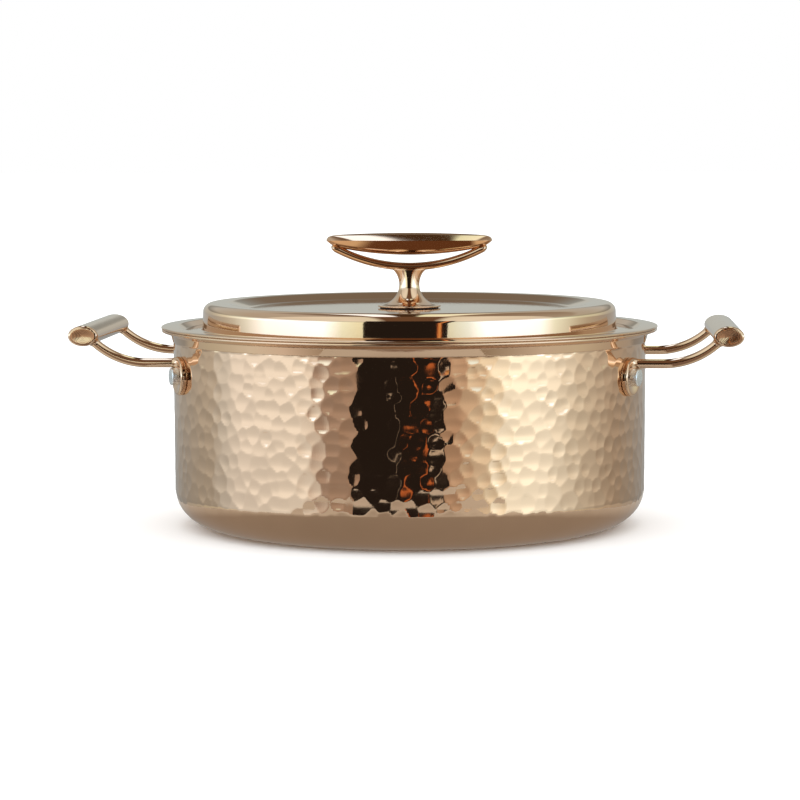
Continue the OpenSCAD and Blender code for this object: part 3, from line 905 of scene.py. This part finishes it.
# %% Fields of bar, eye and grip
ROD_R = 2.5
ROD_Z = EYE_Z + 7.2
BEND_X, BEND_R, BEND_TURN = 138.0, 42.0, math.radians(46)
EYE_R, EYE_T, EYE_ROUND, EYE_SINK = 10.2, 3.0, 1.35, 0.5
DISH_DEPTH, DISH_R, DISH_EDGE = 0.9, 7.2, 0.9
WALL_X = BODY_R * math.cos(EYE_TURN)
dish_sphere = (DISH_R**2 + DISH_DEPTH**2) / (2 * DISH_DEPTH)


def bar_field(p):
    """Distance to the rod's bar: a straight run that turns up along an arc."""
    x, y, z = p[..., 0], p[..., 1] - ROD_Y, p[..., 2]
    run = np.clip(x, WALL_X + 1.6, BEND_X)
    straight = np.sqrt((x - run) ** 2 + y**2 + (z - ROD_Z) ** 2)
    angle = np.clip(np.arctan2(x - BEND_X, ROD_Z + BEND_R - z), 0, BEND_TURN)
    past_x, past_z = x - BEND_X - BEND_R * np.sin(angle), z - ROD_Z - BEND_R + BEND_R * np.cos(angle)
    return np.minimum(straight, np.sqrt(past_x**2 + y**2 + past_z**2)) - ROD_R


def eye_field(p):
    """Distance to the eye: a disc with a round edge, dished by a large sphere, with the rivet's hole."""
    out = p[..., 0] * math.cos(EYE_TURN) + p[..., 1] * math.sin(EYE_TURN)
    along = -p[..., 0] * math.sin(EYE_TURN) + p[..., 1] * math.cos(EYE_TURN)
    radial = np.hypot(along, p[..., 2] - EYE_Z)
    past_r = radial - (EYE_R - EYE_ROUND)
    past_t = abs(out - (BODY_R + EYE_T / 2 - EYE_SINK)) - (EYE_T / 2 + EYE_SINK - EYE_ROUND)
    outside = np.hypot(np.maximum(past_r, 0), np.maximum(past_t, 0))
    disc = outside + np.minimum(np.maximum(past_r, past_t), 0) - EYE_ROUND
    sphere = np.hypot(radial, out - (BODY_R + EYE_T - DISH_DEPTH + dish_sphere)) - dish_sphere
    return np.maximum(soft_max(disc, -sphere, DISH_EDGE), RIVET_R + 0.1 - radial)


def grip_field(p):
    """Nearly the distance to the oval grip: with k the size of the oval through a point as a share of
    the grip's own, it is k * (k - 1) over the slope of that oval."""
    x, z = p[..., 0] - GRIP_X, p[..., 2] - GRIP_Z
    a, b = GRIP_W / 2, GRIP_T / 2
    k = np.hypot(x / a, z / b)
    return k * (k - 1) / np.maximum(np.hypot(x / a**2, z / b**2), 1e-6)


print(f"rod: {2 * ROD_R:.0f} mm thick, its eye {2 * EYE_R:.1f} mm across")

# %% The whole rod's field
FORGE_BLEND, BRAZE_BLEND, BRAZE_INSET = 2.4, 2.0, 0.2
WALL_GAP, GRIP_GAP = 0.03, 0.02


def rod_field(p):
    """The whole rod: bar and eye forged together, brazed to the grip, cut to the wall and to the grip."""
    forged = soft_min(bar_field(p), eye_field(p), FORGE_BLEND)
    brazed = soft_min(forged, grip_field(p) + BRAZE_INSET, BRAZE_BLEND)
    off_wall = BODY_R + WALL_GAP - np.hypot(p[..., 0], p[..., 1])
    return np.maximum(np.maximum(brazed, off_wall), GRIP_GAP - grip_field(p))


print(f"inside the bar the field is {rod_field(np.array((BEND_X, ROD_Y, ROD_Z))):.1f} mm")

# %% [markdown]
# The surface is where the field is nought. Marching cubes would find it too, but leaves steps in a
# mirror. So a first net of points is read off a fine lattice, and each point is then pulled exactly onto
# the surface along the field's slope, which also gives it a true normal.

# %% From a field to a surface
def slope_of(field, points, reach=0.01):
    """The field's slope: its change over a small step along each axis."""
    steps = np.eye(3) * reach
    return np.stack([(field(points + s) - field(points - s)) / (2 * reach) for s in steps], -1)


def surface_of(field, low, high, cell):
    """Points, quads and normals of the surface where a field is nought, between two corners. Each
    lattice cell that the surface passes through holds one point, and each lattice edge that it cuts is
    ringed by a quad. The points then slide down the field: p - field * slope / |slope|^2."""
    axes = [np.arange(l, h + cell, cell) for l, h in zip(low, high)]
    lattice = np.stack(np.meshgrid(*axes, indexing="ij"), -1)
    solid = field(lattice) < 0
    corners = [solid[i:solid.shape[0] - 1 + i, j:solid.shape[1] - 1 + j, k:solid.shape[2] - 1 + k]
               for i, j, k in itertools.product((0, 1), repeat=3)]
    mixed_cells = np.any(corners, axis=0) & ~np.all(corners, axis=0)
    number = np.full(mixed_cells.shape, -1)
    number[mixed_cells] = np.arange(mixed_cells.sum())
    points = lattice[:-1, :-1, :-1][mixed_cells] + cell / 2
    quads = []
    for axis in range(3):
        one, two = np.eye(3, dtype=int)[(axis + 1) % 3], np.eye(3, dtype=int)[(axis + 2) % 3]
        cut = np.argwhere(np.diff(solid.astype(np.int8), axis=axis) != 0)
        ring = np.stack([number[tuple((cut - s).T)] for s in (0 * one, one, one + two, two)], -1)
        start = solid[tuple(cut.T)]
        quads.append(np.where(start[:, None], ring, ring[:, ::-1]))
    for _ in range(8):
        slope = slope_of(field, points)
        move = field(points)[:, None] * slope / np.maximum((slope**2).sum(-1, keepdims=True), 0.05)
        points = points - np.clip(move, -cell / 2, cell / 2)
    return points, np.concatenate(quads), unit(slope_of(field, points))


LATTICE = 0.4
rod_low = (WALL_X - 6, ROD_Y - 12, EYE_Z - 12)
rod_high = (GRIP_X + 1, ROD_Y + 12, GRIP_Z + 2)
rod_points, rod_quads, rod_normals = surface_of(rod_field, rod_low, rod_high, LATTICE)
print("rod:", len(rod_points), "points")

# %% Four rods
for side, name in ((-1, "left"), (1, "right")):
    for end, place_name in ((-1, "front"), (1, "back")):
        mirrored = np.array((side, end, 1.0))
        make_piece(f"{name}_forged_rod_{place_name}", [(rod_points * mirrored, rod_quads)], polished_rose,
                   "pot", f"{name}_rod_{place_name}", normals=rod_normals * mirrored)

# %% [markdown]
# ## The knob
# Three castings make the knob: a boat-shaped bar with a crowned top, a bow that hangs under it and
# leaves a slot for the fingers' grip, and a stem that swells out to a foot. The bar and the bow are
# sections carried from tip to tip: at each place the section's width, crown and depth follow a formula.

# %% The knob's curves
BAR_LOW, BAR_TOP = (corner.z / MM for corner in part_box("knob_grip"))
HALF_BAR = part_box("knob_grip")[1].x / MM
BAR_HALF_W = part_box("knob_grip")[1].y / MM
EDGE_Z = BAR_TOP - 4.1
TOP_BEND, LOW_BEND = 711.0, 203.0
SECTION = 96


def sag(bend, x):
    """How far an arc of that radius has dropped at a distance x from its middle."""
    return bend - np.sqrt(bend**2 - x**2)


def towards_tips(u, power):
    """One in the middle and nought at both tips: 1 - |u|^power, fuller for a higher power."""
    return np.clip(1 - abs(u) ** power, 0, 1)


def bar_underside(x):
    """Height of the bar's underside along its middle."""
    return BAR_LOW + sag(LOW_BEND, x)


turn_angle = np.arange(SECTION)[None, :] * 2 * math.pi / SECTION
c, s = np.cos(turn_angle), np.sin(turn_angle)
print(f"knob bar: {2 * HALF_BAR:.0f} mm long, its ends {sag(LOW_BEND, HALF_BAR):.1f} mm above its keel")

# %% Bar
PLAN_POWER, CROWN_POWER, KEEL_POWER = 2.6, 26, 40
EDGE_LIP, EDGE_DROP, TIP_TUCK = 0.955, 0.15, 0.9

u = -np.cos(np.linspace(0, math.pi, 97))[:, None]
x = u * HALF_BAR
plan = BAR_HALF_W * towards_tips(u, PLAN_POWER) ** (1 / PLAN_POWER)
crown = (BAR_TOP - EDGE_Z - sag(TOP_BEND, x)) * towards_tips(u, CROWN_POWER) ** 0.5
keel = (EDGE_Z - bar_underside(x)) * towards_tips(u, KEEL_POWER) ** 0.5
across = np.sign(c) * abs(c) ** np.where(s > 0, 1.0, 0.8)
top_height = crown * (1 - across**2)
low_height = -keel * (1 - np.clip(abs(across), 0, 1) ** 2.4) ** 0.75
tuck = TIP_TUCK * np.where(s > 0, 0, -low_height)
bar_grid = np.stack((
    x - np.sign(u) * abs(u) ** 6 * tuck,
    plan * across * np.where(s > 0, 1.0, EDGE_LIP),
    EDGE_Z + np.where(s > 0, top_height, low_height - EDGE_DROP * (s < 0)),
), -1)
make_piece("knob_bar", [part_of(bar_grid)], cast_rose, "lid", "knob_grip")

# %% Bow
BOW_HALF_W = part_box("knob_bow")[1].y / MM
BOW_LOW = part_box("knob_bow")[0].z / MM
BOW_TOP = BOW_LOW + 4.4
BOW_REACH = 43.0
BOW_BEND, BOW_TOP_BEND = 88.0, 85.0
TIP_ROUND = 2.2
SQUARING = 0.95

x = np.sin(np.linspace(-math.pi / 2, math.pi / 2, 121))[:, None] * BOW_REACH
low_line = BOW_LOW + sag(BOW_BEND, x)
high_line = np.minimum(BOW_TOP + sag(BOW_TOP_BEND, x), bar_underside(x) + 1.2)
into_tip = np.clip(abs(x) - (BOW_REACH - TIP_ROUND), 0, None) / TIP_ROUND
closing = np.sqrt(np.clip(1 - into_tip**2, 0, 1))
middle, thick = (low_line + high_line) / 2, (high_line - low_line) / 2 * closing
bow_grid = np.stack((
    x + 0 * c,
    BOW_HALF_W * closing * np.sign(c) * abs(c) ** SQUARING,
    middle + thick * np.sign(s) * abs(s) ** SQUARING,
), -1)
make_piece("knob_bow_strap", [part_of(bow_grid)], cast_rose, "lid", "knob_bow")

# %% [markdown]
# The stem is turned: a trumpet foot narrows to a waist along a quarter of an ellipse and opens again
# towards the bow. Above the waist it is squeezed from front to back, so that it meets the narrow bow.

# %% Stem
FOOT_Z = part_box("knob_stem")[0].z / MM
FOOT_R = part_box("knob_stem")[1].x / MM
WAIST_R = 5.6
WAIST_H = 12.2
HORN_W, HORN_H = FOOT_R - 1 - WAIST_R, 11
NECK_W, NECK_H = 7, 9.4
STEM_TOP = FOOT_Z + 21.5
NARROWING = 0.52

horn_angle = np.radians(np.linspace(10, 90, 22))[:, None]
neck_angle = np.radians(np.linspace(5, 62, 16))[:, None]
foot = rounded([(0, FOOT_Z, 0), (FOOT_R, FOOT_Z, 0.45), (FOOT_R, FOOT_Z + 0.95, 0.45),
                (FOOT_R - 1.5, FOOT_Z + 1.0, 0)], guard=0.1)
horn = np.hstack((FOOT_R - 1 - HORN_W * np.sin(horn_angle), FOOT_Z + WAIST_H - HORN_H * np.cos(horn_angle)))
neck = np.hstack((WAIST_R + NECK_W - NECK_W * np.cos(neck_angle),
                  FOOT_Z + WAIST_H + NECK_H * np.sin(neck_angle)))
stem_grid = turned(np.concatenate((foot, horn, neck, [(0, STEM_TOP)])), 128)
flare = np.clip((stem_grid[..., 2:] - FOOT_Z - WAIST_H) / 9, 0, 1) ** 1.5
stem_grid[..., 1:2] *= 1 - flare * NARROWING
make_piece("knob_cast_stem", [part_of(stem_grid)], cast_rose, "lid", "knob_stem")

# %% [markdown]
# ## What holds the knob
# A screw comes up through the lid from below, with a washer under its head and a thin rubber seal
# between foot and lid. They are small, but they are what one sees on turning the lid over. Rubber is not
# one black: a fine grain makes it dull, as colour and as bump.

# %% Rubber
GRAIN_SCALE = 900.0


def rubber():
    """Dark matt rubber with a faint grain."""
    material = bpy.data.materials.new("seal_rubber")
    material.use_nodes = True
    tree = material.node_tree
    shader = tree.nodes["Principled BSDF"]
    place = add(tree, "TexCoord").outputs["Object"]
    grain = add(tree, "TexNoise", {"Vector": place, "Scale": GRAIN_SCALE, "Detail": 3.0}).outputs[0]
    tint = ramp(tree, grain, [(0.3, 0.012, 0.012, 0.013), (0.7, 0.03, 0.03, 0.032)])
    tree.links.new(tint, shader.inputs["Base Color"])
    shader.inputs["Roughness"].default_value = 0.6
    bump = add(tree, "Bump", {"Height": grain, "Strength": 0.2, "Distance": 0.0002})
    tree.links.new(bump.outputs[0], shader.inputs["Normal"])
    return material


seal_rubber = rubber()
print("material:", seal_rubber.name)

# %% Seal and washer
SCREW_R = 2.5
HOLE_R = SCREW_R + 0.2

seal_low, seal_high = (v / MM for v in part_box("knob_gasket"))
seal_outline = rounded([(HOLE_R, seal_low.z, 0.1), (seal_high.x, seal_low.z, 0.2),
                        (seal_high.x, seal_high.z, 0.2), (HOLE_R, seal_high.z, 0.1)], guard=0.02)
make_piece("knob_seal", [part_of(turned(seal_outline, 120), closed=True)], seal_rubber,
           "lid", "knob_gasket")

washer_low, washer_high = (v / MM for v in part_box("knob_washer"))
washer_outline = rounded([(HOLE_R, washer_low.z + 0.1, 0), (HOLE_R + 0.2, washer_low.z, 0),
                          (washer_high.x, washer_low.z, 0.25), (washer_high.x, washer_high.z, 0.1),
                          (HOLE_R, washer_high.z, 0)], guard=0.05)
make_piece("knob_flat_washer", [part_of(turned(washer_outline, 96), closed=True)], bright_steel,
           "lid", "knob_washer")

# %% [markdown]
# The screw's head has a hexagon socket. Turning gives a round hole, so the rows of the hole are drawn in
# towards the six flats: each radius is multiplied by cos(30) / cos(angle from the middle of the flat).

# %% Screw
SCREW_HEAD_R, SCREW_HEAD_T, SOCKET_R, SOCKET_T = 4.6, 2.8, 1.7, 1.7
SCREW_COLUMNS = 96

screw_low, screw_high = (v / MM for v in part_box("knob_screw"))
socket_end, head_end = screw_low.z + SOCKET_T, screw_low.z + SCREW_HEAD_T
screw_outline = rounded([
    (0, socket_end, 0), (SOCKET_R, socket_end, 0), (SOCKET_R, screw_low.z + 0.25, 0),
    (SOCKET_R + 0.3, screw_low.z, 0), (SCREW_HEAD_R, screw_low.z, 0.6), (SCREW_HEAD_R, head_end, 0.1),
    (SCREW_R, head_end, 0), (SCREW_R, screw_high.z - 0.6, 0), (SCREW_R - 0.6, screw_high.z, 0),
    (0, screw_high.z, 0)], guard=0.05)
screw_grid = turned(screw_outline, SCREW_COLUMNS)
around = np.arange(SCREW_COLUMNS) * 2 * math.pi / SCREW_COLUMNS
to_flat = (around + math.pi / 6) % (math.pi / 3) - math.pi / 6
hexagon = math.cos(math.pi / 6) / np.cos(to_flat)
row_radius = np.hypot(screw_grid[..., 0], screw_grid[..., 1]).max(1)
socket_rows = (row_radius <= SOCKET_R + 0.01) & (screw_grid[:, 0, 2] < socket_end + 0.01)
screw_grid[socket_rows, :, :2] *= hexagon[:, None]
make_piece("knob_socket_screw", [part_of(screw_grid)], bright_steel, "lid", "knob_screw")
